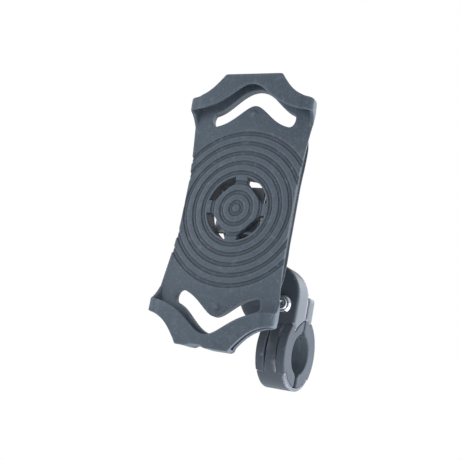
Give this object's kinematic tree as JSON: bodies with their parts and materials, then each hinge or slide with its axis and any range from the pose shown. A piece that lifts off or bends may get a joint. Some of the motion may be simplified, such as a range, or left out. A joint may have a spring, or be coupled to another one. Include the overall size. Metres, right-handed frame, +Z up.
{
  "type": "phone handlebar mount",
  "caption": "Silicone phone cradle with concentric grooves on a swivel arm, with a split clamp and rubber liners for a handlebar.",
  "frame": {"origin": "centre of the handlebar bore", "axes": "+X along the handlebar, -Y the way the cradle faces, +Z up along the cradle"},
  "size_m": [0.0754, 0.0819, 0.1607],
  "materials": {
    "black_metal": "black satin coating",
    "liner_rubber": "matte",
    "silicone": "matte, slightly dusty",
    "steel": "polished stainless",
    "black_nylon": "matte"
  },
  "bodies": {
    "clamp": {"clamp_body": "black_metal", "front_liner": "liner_rubber", "rear_liner": "liner_rubber", "clamp_nut": "steel", "cup_washer": "steel", "swivel_bush": "black_nylon", "friction_ring": "liner_rubber", "wave_washer": "steel", "rear_cap": "black_nylon"},
    "screw": {"clamp_screw": "steel"},
    "holder": {"silicone_cradle": "silicone", "core_disc": "black_nylon", "core_screws": "steel", "backplate": "black_metal", "swivel_shaft": "steel", "thrust_washer": "steel", "lock_nut": "steel"}
  },
  "joints": [
    {"name": "holder_swivel", "type": "hinge", "parent": "clamp", "child": "holder", "pos_m": [-0.0186, -0.0538, 0.0666], "axis": [0, -1, 0], "continuous": true},
    {"name": "screw_turn", "type": "hinge", "parent": "clamp", "child": "screw", "pos_m": [0, -0.015, 0.0244], "axis": [0, -1, 0], "continuous": true}
  ]
}
